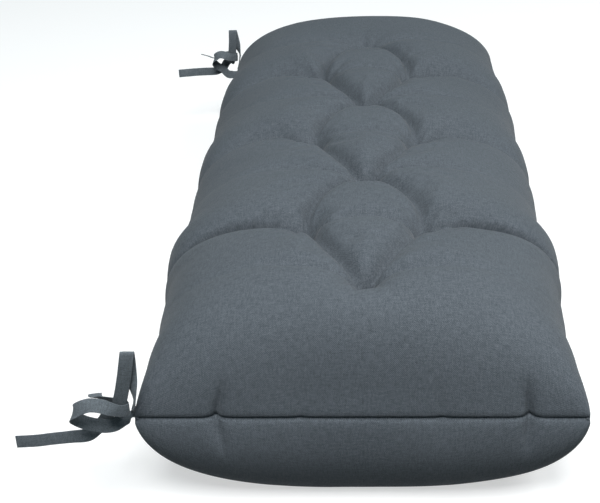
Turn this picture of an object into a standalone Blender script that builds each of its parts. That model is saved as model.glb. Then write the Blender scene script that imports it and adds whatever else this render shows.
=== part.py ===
"""A tufted bench cushion with a pair of tie tapes bow-knotted at each corner of one long edge.

The cushion is one filled body: two panels sewn together round the edge, drawn together by ten tufts
set in rows of one and two, with the creases that run between the tufts and out to the seam.
Metres, +Z up, +Y along the cushion. The origin is the middle of the flat underside.
"""

import math
from collections import namedtuple

import bpy
import numpy as np

# Driving dimensions of the cushion, in metres
LENGTH = 1.20
WIDTH = 0.50
CROWN = 0.135
DROP = 0.160
SEAM_HEIGHT = 0.117
SEAM_GROOVE = 0.004

# Section across: a superellipse, lean at the ends and fuller at the side lobes
LEAN = 2.50
FULL = 2.85

# How far apart the side lobes swell, along the cushion
LOBE_STEP = 0.150

# Profile along: level, then rounded down to the seam over these lengths at the two ends
NEAR_ROUND = 0.145
FAR_ROUND = 0.165
END_FULLNESS = 2.70

# Tufting: rows of one and two tufts by turns, one pitch apart, the middle row a little to the near end
ROWS = 7
ROW_PITCH = 0.141
MIDDLE_ROW = -ROW_PITCH / 2
PAIR_HALF = 0.074
TUFT_SHIFT = 0.006
TUFT_DEPTH = 0.054
TUFT_REACH = 0.020
TUFT_ROUND = 0.006
CREASE_ROUND = 0.003

# Kinds of crease: how far out and on from its tuft's row it bows and ends, its depth at the start,
# bow and end, and its width
CreaseKind = namedtuple("CreaseKind", "bow_out bow_on end_out end_on depths width")
SINGLE_OUT = CreaseKind(0.100, 0.020, WIDTH / 2, 0.020, (0.030, 0.004, 0.0), 0.009)
SINGLE_TO_NEARER_PAIR = CreaseKind(0.057, -0.060, PAIR_HALF, -ROW_PITCH, (0.036, 0.028, 0.038), 0.010)
SINGLE_TO_FARTHER_PAIR = CreaseKind(0.040, 0.070, PAIR_HALF, ROW_PITCH, (0.046, 0.030, 0.038), 0.011)
PAIR_OUT = CreaseKind(0.155, 0.022, WIDTH / 2, 0.006, (0.040, 0.030, 0.006), 0.018)
PAIR_BETWEEN = CreaseKind(0.0, 0.004, PAIR_HALF, 0.0, (0.022, 0.007, 0.022), 0.012)

# Gathers where the end seams pucker: place across, and depth at the seam. Each runs in from the seam
# over this length, drawing a little to the middle, and has this width
Gather = namedtuple("Gather", "x depth")
GATHERS = [Gather(-0.160, 0.007), Gather(-0.065, 0.004), Gather(0.090, 0.004), Gather(0.185, 0.009)]
GATHER_LENGTH = 0.070
GATHER_DRAW = 0.05
GATHER_WIDTH = 0.010

# The underside lies flat where its bulge would reach below the floor, with this soft edge
CONTACT_EDGE = 0.003

# How far the drawn-in sides stand out of a straight line, along the cushion
SideLine = namedtuple("SideLine", "y out")
SIDE_LINE = [
    SideLine(-0.60, 0.0),
    SideLine(-0.55, -0.0056),
    SideLine(-0.50, -0.0090),
    SideLine(-0.45, -0.0063),
    SideLine(-0.40, -0.0050),
    SideLine(-0.35, 0.0045),
    SideLine(-0.30, 0.0063),
    SideLine(-0.25, -0.0055),
    SideLine(-0.20, -0.0055),
    SideLine(-0.15, -0.0030),
    SideLine(-0.10, -0.0006),
    SideLine(-0.05, 0.0024),
    SideLine(0.00, 0.0010),
    SideLine(0.05, -0.0029),
    SideLine(0.10, -0.0025),
    SideLine(0.15, 0.0001),
    SideLine(0.20, 0.0028),
    SideLine(0.25, 0.0034),
    SideLine(0.30, 0.0010),
    SideLine(0.35, -0.0029),
    SideLine(0.40, -0.0047),
    SideLine(0.50, -0.0051),
    SideLine(0.60, 0.0),
]

# Mesh steps
CELLS_IN_PAIR_HALF = 4
CELLS_BESIDE = 3
SIDE_CELLS = 6
STEPS_IN_PITCH = 10
PITCHES_TO_END_ROW = 3.5
END_CELLS = 8
CREASE_STEPS = 12
BLEND_POWER = 3.0

# Tie tapes: width and thickness, and the step between sections
TAPE_WIDTH = 0.0155
TAPE_THICK = 0.0012
TAPE_STEPS = 4
KNOT_REACH = 0.020

# A crease runs on a bowed line from start to end, with its depth at start, middle and end
Crease = namedtuple("Crease", "start middle end depths width")

# A place on a tape's middle line from the seam corner: away from the cushion, along it and up,
# and the direction of the tape's width there
Station = namedtuple("Station", "out along up wide_out wide_along wide_up")

# The tape that makes the lying loop: out along the lower band, round, back on the upper band
# and round the standing loop's foot
LYING_LOOP = [
    Station(-0.0031, 0.0085, -0.0011, 0.00, 1.00, 0.00),
    Station(0.0050, 0.0083, -0.0020, 0.00, 1.00, 0.00),
    Station(0.0135, 0.0055, -0.0058, 0.00, 0.50, 0.85),
    Station(0.0230, 0.0025, -0.0095, 0.10, 0.45, 0.88),
    Station(0.0330, 0.0025, -0.0100, 0.00, 0.45, 0.89),
    Station(0.0430, 0.0035, -0.0078, -0.10, 0.44, 0.90),
    Station(0.0536, 0.0035, -0.0050, -0.10, 0.42, 0.90),
    Station(0.0620, 0.0010, 0.0010, -0.20, 0.38, 0.90),
    Station(0.0665, -0.0040, 0.0085, -0.30, 0.30, 0.90),
    Station(0.0640, -0.0088, 0.0165, -0.30, 0.20, 0.92),
    Station(0.0575, -0.0105, 0.0220, -0.10, 0.30, 0.94),
    Station(0.0475, -0.0110, 0.0255, 0.00, 0.40, 0.92),
    Station(0.0355, -0.0118, 0.0252, 0.00, 0.30, 0.95),
    Station(0.0245, -0.0130, 0.0225, 0.10, 0.05, 0.99),
    Station(0.0150, -0.0126, 0.0198, 0.10, 0.00, 1.00),
    Station(0.0070, -0.0108, 0.0190, 0.00, 0.00, 1.00),
    Station(0.0038, -0.0058, 0.0188, 0.00, 0.00, 1.00),
    Station(0.0074, -0.0010, 0.0188, 0.00, 0.00, 1.00),
]

# The tape that makes the standing loop: up at the back, over the top fold, down in front and
# behind the lying loop's lower band
STANDING_LOOP = [
    Station(-0.0027, 0.0085, 0.0013, 0.00, 1.00, 0.00),
    Station(0.0010, 0.0085, 0.0020, 0.00, 1.00, 0.00),
    Station(0.0028, 0.0085, 0.0065, 0.00, 1.00, 0.00),
    Station(0.0012, 0.0065, 0.0125, 0.00, 1.00, 0.10),
    Station(-0.0003, 0.0000, 0.0190, 0.10, 1.00, 0.20),
    Station(-0.0015, -0.0070, 0.0270, 0.25, 0.95, 0.10),
    Station(0.0030, -0.0078, 0.0390, 0.60, 0.80, 0.00),
    Station(0.0065, -0.0060, 0.0520, 0.90, 0.40, 0.00),
    Station(0.0085, -0.0048, 0.0640, 0.98, 0.20, 0.00),
    Station(0.0098, -0.0050, 0.0760, 0.99, 0.10, 0.00),
    Station(0.0103, -0.0060, 0.0845, 1.00, 0.00, 0.00),
    Station(0.0104, -0.0088, 0.0848, 1.00, 0.00, 0.00),
    Station(0.0106, -0.0104, 0.0750, 1.00, 0.00, 0.00),
    Station(0.0112, -0.0104, 0.0600, 1.00, 0.00, 0.05),
    Station(0.0126, -0.0092, 0.0430, 1.00, 0.00, 0.10),
    Station(0.0142, -0.0078, 0.0300, 0.98, 0.00, 0.18),
    Station(0.0160, -0.0062, 0.0200, 0.96, 0.00, 0.25),
    Station(0.0172, -0.0050, 0.0112, 0.92, 0.05, 0.35),
    Station(0.0205, 0.0020, 0.0062, 0.85, 0.20, 0.45),
    Station(0.0250, 0.0128, 0.0052, 0.85, 0.25, 0.45),
    Station(0.0300, 0.0200, -0.0015, 0.75, 0.10, 0.65),
    Station(0.0360, 0.0205, -0.0120, 0.50, 0.10, 0.85),
]

# The free ends: of the lying loop, back behind it at the near knot and up and away at the far one,
# and of the standing loop, out to the side below
NEAR_LYING_END = [
    Station(0.0150, 0.0010, 0.0200, 0.00, -0.10, 1.00),
    Station(0.0250, 0.0030, 0.0215, 0.15, -0.30, 0.95),
    Station(0.0350, 0.0085, 0.0205, 0.45, -0.40, 0.80),
    Station(0.0430, 0.0165, 0.0175, 0.80, -0.50, 0.40),
    Station(0.0480, 0.0265, 0.0135, 0.95, -0.30, 0.10),
    Station(0.0500, 0.0370, 0.0095, 1.00, -0.20, 0.00),
]
FAR_LYING_END = [
    Station(0.0150, 0.0002, 0.0200, 0.00, -0.10, 1.00),
    Station(0.0250, 0.0020, 0.0210, 0.00, -0.20, 0.98),
    Station(0.0380, 0.0065, 0.0165, 0.10, -0.75, 0.65),
    Station(0.0520, 0.0130, 0.0110, 0.10, -0.95, 0.31),
    Station(0.0650, 0.0140, 0.0150, 0.10, -0.95, 0.31),
    Station(0.0790, 0.0150, 0.0190, 0.10, -0.95, 0.31),
]
NEAR_STANDING_END = [
    Station(0.0450, 0.0185, -0.0205, 0.25, 0.25, 0.94),
    Station(0.0560, 0.0130, -0.0262, 0.10, 0.35, 0.93),
    Station(0.0750, 0.0110, -0.0275, 0.05, 0.40, 0.91),
    Station(0.0950, 0.0090, -0.0285, 0.05, 0.42, 0.90),
    Station(0.1150, 0.0070, -0.0298, 0.05, 0.44, 0.89),
    Station(0.1375, 0.0060, -0.0305, 0.05, 0.44, 0.89),
]
FAR_STANDING_END = [
    Station(0.0440, 0.0185, -0.0175, 0.25, 0.20, 0.95),
    Station(0.0530, 0.0130, -0.0190, 0.10, 0.30, 0.95),
    Station(0.0720, 0.0110, -0.0188, 0.05, 0.32, 0.95),
    Station(0.0930, 0.0090, -0.0190, 0.05, 0.32, 0.95),
    Station(0.1265, 0.0060, -0.0205, 0.05, 0.32, 0.95),
]

# The corners that carry ties: place of the seam corner, how far the knot stands off it, the lying
# loop's reach and the loops' heights against the tables, and how far they lean to the cushion
TieCorner = namedtuple("TieCorner", "name x y off_out off_along off_up reach rise_lying rise_standing lean")
NEAR_TIE = TieCorner("near", -0.25, -0.595, 0.0015, -0.0070, 0.0, 1.0, 1.10, 1.10, 0.17)
FAR_TIE = TieCorner("far", -0.25, 0.578, -0.0010, 0.0160, 0.0105, 0.68, 1.0, 0.86, 0.01)


def row_place(row):
    """Where a tuft row lies along the cushion, rows counted from 1 at the near end."""
    return MIDDLE_ROW + (row - (ROWS + 1) / 2) * ROW_PITCH


def tuft_places():
    """Rows of one tuft on the middle line and rows of two beside it by turns."""
    places = []
    for row in range(1, ROWS + 1):
        sides = (0,) if row % 2 else (-1, 1)
        places += [(side * PAIR_HALF + TUFT_SHIFT, row_place(row)) for side in sides]
    return places


def crease_from(x, y, side, kind, end_x):
    """A crease of a kind from a tuft at x, y to end_x, bowed between them."""
    bow = (side * kind.bow_out + TUFT_SHIFT, y + kind.bow_on)
    return Crease((x, y), bow, (end_x, y + kind.end_on), kind.depths, kind.width)


def single_creases(row):
    """From a single tuft: out to the sides, fading before the edge, and slanting to the pairs."""
    y = row_place(row)
    found = []
    for side in (-1, 1):
        found.append(crease_from(TUFT_SHIFT, y, side, SINGLE_OUT, side * SINGLE_OUT.end_out))
        for step, kind in ((-1, SINGLE_TO_NEARER_PAIR), (1, SINGLE_TO_FARTHER_PAIR)):
            if 1 < row + step < ROWS + 1:
                found.append(crease_from(TUFT_SHIFT, y, side, kind, side * kind.end_out + TUFT_SHIFT))
    return found


def pair_creases(row):
    """From a row of two: out to the seam, which they draw in, and a soft one across between them."""
    y = row_place(row)
    found = []
    for side in (-1, 1):
        tuft = side * PAIR_HALF + TUFT_SHIFT
        found.append(crease_from(tuft, y, side, PAIR_OUT, side * PAIR_OUT.end_out))
    found.append(crease_from(TUFT_SHIFT - PAIR_HALF, y, 0, PAIR_BETWEEN, TUFT_SHIFT + PAIR_HALF))
    return found


def end_gathers():
    """Short gathers where the end seams pucker."""
    found = []
    for end in (-1, 1):
        for gather in GATHERS:
            places = [(gather.x * (1 - GATHER_DRAW * share), end * (LENGTH / 2 - GATHER_LENGTH * share))
                      for share in (0, 0.5, 1)]
            found.append(Crease(*places, (gather.depth, gather.depth, 0.0), GATHER_WIDTH))
    return found


def creases():
    """The creases that the tufts and the seams pull in the cloth."""
    found = end_gathers()
    for row in range(1, ROWS + 1):
        found += single_creases(row) if row % 2 else pair_creases(row)
    return found


def crease_depth(x, y, crease):
    """Depth that one crease presses into the cloth, dying away with distance from its line."""
    share = np.linspace(0, 1, CREASE_STEPS + 1)
    corners = np.array([crease.start, crease.middle, crease.end], float)
    rest = 1 - share
    weights = np.stack([rest * (rest - share), 4 * share * rest, share * (share - rest)], 1)
    line = weights @ corners
    depth = weights @ np.array(crease.depths)
    found = np.zeros(x.shape)
    for a, b, deep_a, deep_b in zip(line[:-1], line[1:], depth[:-1], depth[1:]):
        run = b - a
        t = np.clip(((x - a[0]) * run[0] + (y - a[1]) * run[1]) / (run @ run), 0, 1)
        gap = np.hypot(x - a[0] - t * run[0], y - a[1] - t * run[1])
        fall = np.exp(-np.sqrt(gap**2 + CREASE_ROUND**2) / crease.width)
        found = np.maximum(found, (deep_a + t * (deep_b - deep_a)) * fall)
    return found


def relief(x, y):
    """How far the cloth lies inside the smooth cushion: tufts and creases, blended without a step."""
    total = np.zeros(x.shape)
    for crease in creases():
        total += crease_depth(x, y, crease) ** BLEND_POWER
    for tuft in tuft_places():
        gap = np.sqrt((x - tuft[0]) ** 2 + (y - tuft[1]) ** 2 + TUFT_ROUND**2)
        total += (TUFT_DEPTH * np.exp(-gap / TUFT_REACH)) ** BLEND_POWER
    return total ** (1 / BLEND_POWER)


def steps_to_edge(even, half, cells):
    """Places from edge to edge: the given even ones, then closer where the cloth turns down."""
    start = math.asin((even[-1] / half) ** (LEAN / 2))
    turn = half * np.sin(np.linspace(start, math.pi / 2, cells + 1)[1:]) ** (2 / LEAN)
    places = np.concatenate([even, turn])
    return np.concatenate([-places[:0:-1], places])


def grid_places():
    """Places across and along at which the panels are drawn, close together over the tufts."""
    tufted = np.linspace(0, 2 * PAIR_HALF, 2 * CELLS_IN_PAIR_HALF + 1)
    beside = np.linspace(2 * PAIR_HALF, 3 * PAIR_HALF, CELLS_BESIDE + 1)[1:]
    across = steps_to_edge(np.concatenate([tufted, beside]), WIDTH / 2, SIDE_CELLS)
    rows = np.linspace(0, PITCHES_TO_END_ROW * ROW_PITCH, round(PITCHES_TO_END_ROW * STEPS_IN_PITCH) + 1)
    return across, steps_to_edge(rows, LENGTH / 2, END_CELLS)


def side_offset(y):
    """How far the side seam stands out of a straight line, eased between the table's places."""
    line = np.array(SIDE_LINE)
    k = np.clip(np.searchsorted(line[:, 0], y) - 1, 0, len(line) - 2)
    t = np.clip((y - line[k, 0]) / (line[k + 1, 0] - line[k, 0]), 0, 1)
    return line[k, 1] + (line[k + 1, 1] - line[k, 1]) * t * t * (3 - 2 * t)


def smooth_cushion():
    """The cushion before its tufts: plan places and the share of its full height, on one grid."""
    x, y = np.meshgrid(*grid_places(), indexing="ij")
    end_round = np.where(y < 0, NEAR_ROUND, FAR_ROUND)
    u = np.abs(x) / (WIDTH / 2)
    v = np.clip(1 - (LENGTH / 2 - np.abs(y)) / end_round, 0, 1)
    lobes = 0.5 + 0.5 * np.cos(math.pi * y / LOBE_STEP)
    inner = np.clip((LENGTH / 2 - np.abs(y)) / LOBE_STEP - 1, 0, 1)
    power = LEAN + (FULL - LEAN) * lobes * inner
    rise = (1 - u**power) ** (1 / power) * (1 - v**END_FULLNESS) ** (1 / END_FULLNESS)
    x = x * (1 + side_offset(y) / (WIDTH / 2) * u**2)
    return np.stack([x, y, rise], -1)


def outward(points):
    """Unit normals of a half facing up, level and square to the edge along the seam."""
    normal = np.cross(np.gradient(points, axis=0), np.gradient(points, axis=1))
    normal[0], normal[-1] = (-1, 0, 0), (1, 0, 0)
    normal[:, 0], normal[:, -1] = (0, -1, 0), (0, 1, 0)
    for i in (0, -1):
        for j in (0, -1):
            normal[i, j] = (-1 if i == 0 else 1, -1 if j == 0 else 1, 0)
    return normal / np.linalg.norm(normal, axis=-1, keepdims=True)


def tufted_half(height):
    """One half of the cushion, facing up, with its relief, above the seam's plane."""
    base = smooth_cushion() * (1, 1, height)
    depth = relief(base[..., 0], base[..., 1])
    rim = np.zeros(depth.shape, bool)
    rim[[0, -1]] = rim[:, [0, -1]] = True
    depth[rim] += SEAM_GROOVE
    half = base - outward(base) * depth[..., None]
    half[rim, 2] = 0
    return half


def lying_flat(height):
    """Heights below the seam, pressed level where the cushion rests on what it lies on."""
    share = np.clip((height - SEAM_HEIGHT + CONTACT_EDGE) / (2 * CONTACT_EDGE), 0, 1)
    eased = SEAM_HEIGHT - CONTACT_EDGE + CONTACT_EDGE * share * (2 - share)
    return np.where(height < SEAM_HEIGHT - CONTACT_EDGE, height, eased)


def shell(upper, lower):
    """One closed mesh of two grids that share their rim."""
    rows, columns = upper.shape[:2]
    above = np.arange(rows * columns).reshape(rows, columns)
    inner = np.arange((rows - 2) * (columns - 2)).reshape(rows - 2, columns - 2) + rows * columns
    below = above.copy()
    below[1:-1, 1:-1] = inner
    points = np.concatenate([upper.reshape(-1, 3), lower[1:-1, 1:-1].reshape(-1, 3)])

    def quads(index, flip):
        corners = [index[:-1, :-1], index[1:, :-1], index[1:, 1:], index[:-1, 1:]]
        return np.stack(corners[::-1] if flip else corners, -1).reshape(-1, 4)

    return points, np.concatenate([quads(above, False), quads(below, True)])


def through(stations):
    """A smooth line through the stations, a few steps to each, as an array of the same columns."""
    rows = np.array(stations)
    rows = np.concatenate([2 * rows[:1] - rows[1:2], rows, 2 * rows[-1:] - rows[-2:-1]])
    t = (np.arange((len(stations) - 1) * TAPE_STEPS + 1) / TAPE_STEPS)[:, None]
    k = np.minimum(t[:, 0].astype(int), len(stations) - 2)
    t = t - k[:, None]
    a, b, c, d = rows[k], rows[k + 1], rows[k + 2], rows[k + 3]
    return 0.5 * (2 * b + (c - a) * t + (2 * a - 5 * b + 4 * c - d) * t**2 + (3 * b - a - 3 * c + d) * t**3)


def tape_solid(stations, corner, rise):
    """A flat tape swept along its stations at a corner: points and faces of a closed body."""
    line = through(stations)
    share = np.clip(np.arange(len(line)) / (3 * TAPE_STEPS) - 2 / 3, 0, 1)
    up = line[:, 2] * rise + corner.off_up * share
    out = line[:, 0] + corner.off_out * share - corner.lean * np.maximum(up, 0) * share
    along = line[:, 1] + corner.off_along * share
    middle = np.stack([corner.x - out, corner.y + along, SEAM_HEIGHT + up], 1)
    run = np.gradient(middle, axis=0)
    run /= np.linalg.norm(run, axis=1, keepdims=True)
    wide = line[:, 3:] * (-1, 1, 1)
    wide -= (wide * run).sum(1, keepdims=True) * run
    wide /= np.linalg.norm(wide, axis=1, keepdims=True)
    thick = np.cross(run, wide) * TAPE_THICK / 2
    wide = wide * TAPE_WIDTH / 2
    rings = np.stack([middle - wide - thick, middle + wide - thick,
                      middle + wide + thick, middle - wide + thick], 1)
    count = len(rings)
    index = np.arange(count * 4).reshape(count, 4)
    turned = np.roll(index, -1, axis=1)
    faces = np.stack([index[:-1], turned[:-1], turned[1:], index[1:]], -1).reshape(-1, 4)
    caps = np.array([index[0, ::-1], index[-1]])
    return rings.reshape(-1, 3), np.concatenate([faces, caps])


def add_object(name, points, faces, material):
    mesh = bpy.data.meshes.new(name)
    mesh.from_pydata([tuple(p) for p in points], [], [tuple(int(i) for i in f) for f in faces])
    mesh.validate()
    mesh.materials.append(material)
    made = bpy.data.objects.new(name, mesh)
    bpy.context.scene.collection.objects.link(made)
    return made


def cloth_material(name, colour, roughness):
    material = bpy.data.materials.new(name)
    material.use_nodes = True
    shader = material.node_tree.nodes["Principled BSDF"]
    shader.inputs["Base Color"].default_value = (*colour, 1)
    shader.inputs["Roughness"].default_value = roughness
    return material


def build_cushion(material):
    upper = tufted_half(CROWN) + (0, 0, SEAM_HEIGHT)
    lower = tufted_half(DROP)
    lower[..., 2] = SEAM_HEIGHT - lying_flat(lower[..., 2])
    points, faces = shell(upper, lower)
    made = add_object("cushion", points, faces, material)
    made.data.shade_smooth()


def reached(place, reach):
    """A station of the lying loop, drawn in or out beyond the knot."""
    past = max(place.out - KNOT_REACH, 0)
    return place._replace(out=place.out - past + past * reach)


def tie_tapes():
    """Each tape's name with its stations, corner and rise."""
    ends = ((NEAR_TIE, NEAR_LYING_END, NEAR_STANDING_END), (FAR_TIE, FAR_LYING_END, FAR_STANDING_END))
    for corner, lying_end, standing_end in ends:
        lying = [reached(place, corner.reach) for place in LYING_LOOP]
        yield f"{corner.name}_lying_tape", lying + lying_end, corner, corner.rise_lying
        yield f"{corner.name}_standing_tape", STANDING_LOOP + standing_end, corner, corner.rise_standing


def build_ties(material):
    for name, stations, corner, rise in tie_tapes():
        points, faces = tape_solid(stations, corner, rise)
        add_object(name, points, faces, material)


def main():
    for old in list(bpy.data.objects):
        bpy.data.objects.remove(old)
    cloth = cloth_material("anthracite_cloth", (0.085, 0.100, 0.115), 0.95)
    build_cushion(cloth)
    build_ties(cloth)


main()
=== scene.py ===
# %% [markdown]
# # A tufted bench cushion and its tie tapes
# This lesson dresses a plain solid model of a long bench cushion. The solids come first and stay fixed:
# they say where everything is. The cells below work out the cloth that shows, one surface at a time,
# each as a formula on a grid of two parameters, and then give it a woven finish, a floor and light.

import math
from collections import namedtuple

import bmesh
import bpy
import numpy as np
from mathutils import Matrix


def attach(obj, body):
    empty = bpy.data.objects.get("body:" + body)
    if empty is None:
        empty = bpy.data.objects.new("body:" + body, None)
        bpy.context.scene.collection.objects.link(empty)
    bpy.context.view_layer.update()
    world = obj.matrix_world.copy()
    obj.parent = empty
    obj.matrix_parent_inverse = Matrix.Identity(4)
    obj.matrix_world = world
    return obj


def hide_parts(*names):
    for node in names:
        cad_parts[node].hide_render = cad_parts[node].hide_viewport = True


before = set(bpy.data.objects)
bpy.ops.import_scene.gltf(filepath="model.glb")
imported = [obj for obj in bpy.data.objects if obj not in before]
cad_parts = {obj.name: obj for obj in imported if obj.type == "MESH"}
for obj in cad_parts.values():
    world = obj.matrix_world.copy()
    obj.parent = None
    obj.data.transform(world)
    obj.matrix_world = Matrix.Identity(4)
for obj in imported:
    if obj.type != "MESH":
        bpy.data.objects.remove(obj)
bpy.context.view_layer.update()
print("solids:", ", ".join(sorted(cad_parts)))

# %% [markdown]
# ## The cushion's sizes
# A maker starts with the finished size of the bench pad and the height of its middle seam. Two panels
# are sewn round the edge at that height: the upper one swells to a crown, the lower one sags to the
# floor. These are the same numbers that the solid was built from, so the cloth lies where it lies.

# %% Sizes in metres
LENGTH = 1.20
WIDTH = 0.50
CROWN = 0.135
DROP = 0.160
SEAM_HEIGHT = 0.117
LEAN = 2.50
FULL = 2.85
LOBE_STEP = 0.150
NEAR_ROUND = 0.145
FAR_ROUND = 0.165
END_FULLNESS = 2.70
CONTACT_EDGE = 0.003
print(f"bench cushion {LENGTH:.2f} x {WIDTH:.2f} m, crown at {SEAM_HEIGHT + CROWN:.3f} m")

# %% [markdown]
# ## Where the tufts are
# A tuft is a strong stitch that runs right through the filling and ties both panels together. Here ten
# of them stand in seven rows, one and two by turns, so that they outline a chain of diamonds.

# %% Tuft places
ROWS = 7
ROW_PITCH = 0.141
MIDDLE_ROW = -ROW_PITCH / 2
PAIR_HALF = 0.074
TUFT_SHIFT = 0.006


def row_place(row):
    """Place of a row along the cushion: the middle row's place plus whole pitches."""
    return MIDDLE_ROW + (row - (ROWS + 1) / 2) * ROW_PITCH


def tuft_places():
    """One tuft on the middle line in odd rows, and one to each side of it in even rows."""
    sides = {0: (-1, 1), 1: (0,)}
    rows = range(1, ROWS + 1)
    return [(side * PAIR_HALF + TUFT_SHIFT, row_place(row)) for row in rows for side in sides[row % 2]]


print(len(tuft_places()), "tufts")

# %% [markdown]
# ## Creases between the tufts
# Each tuft pulls the cloth down, and the slack gathers in creases that run from tuft to tuft and out to
# the seam. A crease is drawn as a bowed line in plan with a depth at its start, its bow and its end.
# Just behind the two lobes nearest to the camera the slack cloth is pinched into a thin deep fold, a
# few millimetres wide, which shows as a dark line. Drawing them as lines keeps them where the cloth of
# the real pad folds, which a simulation alone would not do.

# %% The kinds of crease
CreaseKind = namedtuple("CreaseKind", "bow_out bow_on end_out end_on depths width")
Crease = namedtuple("Crease", "start middle end depths width")
SINGLE_OUT = CreaseKind(0.100, 0.020, WIDTH / 2, 0.020, (0.030, 0.0095, 0.0), 0.009)
SINGLE_TO_NEARER_PAIR = CreaseKind(0.057, -0.060, PAIR_HALF, -ROW_PITCH, (0.036, 0.028, 0.038), 0.010)
SINGLE_TO_FARTHER_PAIR = CreaseKind(0.040, 0.070, PAIR_HALF, ROW_PITCH, (0.046, 0.030, 0.038), 0.011)
PAIR_OUT = CreaseKind(0.155, 0.022, WIDTH / 2, 0.006, (0.040, 0.030, 0.006), 0.018)
PAIR_BETWEEN = CreaseKind(0.0, 0.004, PAIR_HALF, 0.0, (0.022, 0.010, 0.022), 0.010)
PINCH_OUT = CreaseKind(0.150, 0.012, WIDTH / 2, 0.002, (0.0, 0.054, 0.022), 0.0026)
PINCHED_PAIR_OUT = PAIR_OUT._replace(bow_on=0.010, depths=(0.038, 0.024, 0.006), width=0.015)
PINCHED_ROW = 2
PINCH_BEHIND = 0.005
PINCH_REACH_BELOW = 0.035


def crease_from(x, y, side, kind, end_x):
    """A crease of a kind from a tuft at x, y to end_x, bowed between them."""
    bow = (side * kind.bow_out + TUFT_SHIFT, y + kind.bow_on)
    return Crease((x, y), bow, (end_x, y + kind.end_on), kind.depths, kind.width)


def creases_of_row(row):
    """From a single tuft out to both sides and slanting to the pairs, or from a pair out to the seam
    and across between its two tufts."""
    y = row_place(row)
    found = []
    for side in (-1, 1):
        if row % 2 == 0:
            tuft_x = side * PAIR_HALF + TUFT_SHIFT
            kind = PINCHED_PAIR_OUT if row == PINCHED_ROW else PAIR_OUT
            found.append(crease_from(tuft_x, y, side, kind, side * WIDTH / 2))
            continue
        found.append(crease_from(TUFT_SHIFT, y, side, SINGLE_OUT, side * WIDTH / 2))
        for step, kind in ((-1, SINGLE_TO_NEARER_PAIR), (1, SINGLE_TO_FARTHER_PAIR)):
            if 1 < row + step < ROWS + 1:
                found.append(crease_from(TUFT_SHIFT, y, side, kind, side * PAIR_HALF + TUFT_SHIFT))
    if row % 2 == 0:
        found.append(crease_from(TUFT_SHIFT - PAIR_HALF, y, 0, PAIR_BETWEEN, TUFT_SHIFT + PAIR_HALF))
    return found


def pinch_beside(side):
    """The thin fold just behind the near lobes, from the nearest pair's tuft out to the side seam."""
    y = row_place(PINCHED_ROW) + PINCH_BEHIND
    return crease_from(side * PAIR_HALF + TUFT_SHIFT, y, side, PINCH_OUT, side * WIDTH / 2)


creases = [crease for row in range(1, ROWS + 1) for crease in creases_of_row(row)]
pinches = [pinch_beside(side) for side in (-1, 1)]
print(len(creases), "creases between tufts and seams and", len(pinches), "pinched folds")

# %% [markdown]
# ## Gathers at the end seams
# Where the two panels are joined at an end, a little spare cloth is caught in the stitching and makes
# short upright puckers that cross the seam. Each one is a line that leans a little, deepest in the
# seam and gone five centimetres above and below it.

# %% Gathers
Gather = namedtuple("Gather", "x lean depth")
GATHERS = [Gather(-0.160, 0.012, 0.013), Gather(-0.065, 0.004, 0.0028),
           Gather(0.090, -0.002, 0.0032), Gather(0.185, -0.004, 0.015)]
GATHER_REACH = 0.052
GATHER_WIDTH = 0.0045
GATHER_ROUND = 0.0018


def gather_pull(x, height):
    """Depth times e to the minus distance over width, from a line that leans with the height over the
    seam, times (1 - h squared) squared, where h is the height's share of the gathers' reach."""
    share = np.clip(np.abs(height) / GATHER_REACH, 0, 1)
    pull = np.zeros(x.shape)
    for gather in GATHERS:
        gap = np.sqrt((x - gather.x - gather.lean * share) ** 2 + GATHER_ROUND**2)
        pull = np.maximum(pull, gather.depth * np.exp(-gap / GATHER_WIDTH))
    return pull * (1 - share**2) ** 2


print(len(GATHERS), "gathers at each end seam")

# %% [markdown]
# ## How deep the cloth is pressed
# All the creases and tufts are turned into one depth below the smooth pad. The depth dies away with
# the distance from a line, and the parts are added as powers, so that the deepest one wins without a
# hard step where two meet. The creases are a touch wider than the solid's and sharper at the bottom,
# because a cloth can fold where the coarser solid has to stay round.

# %% Depth below the smooth pad
TUFT_DEPTH = 0.054
TUFT_REACH = 0.020
TUFT_ROUND = 0.004
CREASE_ROUND = 0.0018
CREASE_STEPS = 12
BLEND_POWER = 3.0
CREASE_WIDENING = 1.05


def crease_depth(x, y, crease):
    """Depth = depth on the line times e to the minus distance over width, the greatest over the line's
    short runs. The line is the parabola through the crease's three places."""
    share = np.linspace(0, 1, CREASE_STEPS + 1)
    corners = np.array([crease.start, crease.middle, crease.end], float)
    rest = 1 - share
    weights = np.stack([rest * (rest - share), 4 * share * rest, share * (share - rest)], 1)
    line = weights @ corners
    depth = weights @ np.array(crease.depths)
    width = crease.width * CREASE_WIDENING
    found = np.zeros(x.shape)
    for a, b, deep_a, deep_b in zip(line[:-1], line[1:], depth[:-1], depth[1:]):
        run = b - a
        t = np.clip(((x - a[0]) * run[0] + (y - a[1]) * run[1]) / (run @ run), 0, 1)
        gap = np.hypot(x - a[0] - t * run[0], y - a[1] - t * run[1])
        fall = np.exp(-np.sqrt(gap**2 + CREASE_ROUND**2) / width)
        found = np.maximum(found, (deep_a + t * (deep_b - deep_a)) * fall)
    return found


def relief(x, y, pinched=1.0):
    """The third root of the sum of the third powers of every crease's and tuft's depth. The pinched
    folds count by the share given, which may be an array."""
    total = np.zeros(x.shape)
    for crease in creases:
        total += crease_depth(x, y, crease) ** BLEND_POWER
    for pinch in pinches:
        total += (pinched * crease_depth(x, y, pinch)) ** BLEND_POWER
    for tuft in tuft_places():
        gap = np.sqrt((x - tuft[0]) ** 2 + (y - tuft[1]) ** 2 + TUFT_ROUND**2)
        total += (TUFT_DEPTH * np.exp(-gap / TUFT_REACH)) ** BLEND_POWER
    return total ** (1 / BLEND_POWER)


print("a tuft is pressed", TUFT_DEPTH * 1000, "mm and blends over", TUFT_REACH * 1000, "mm")


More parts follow.
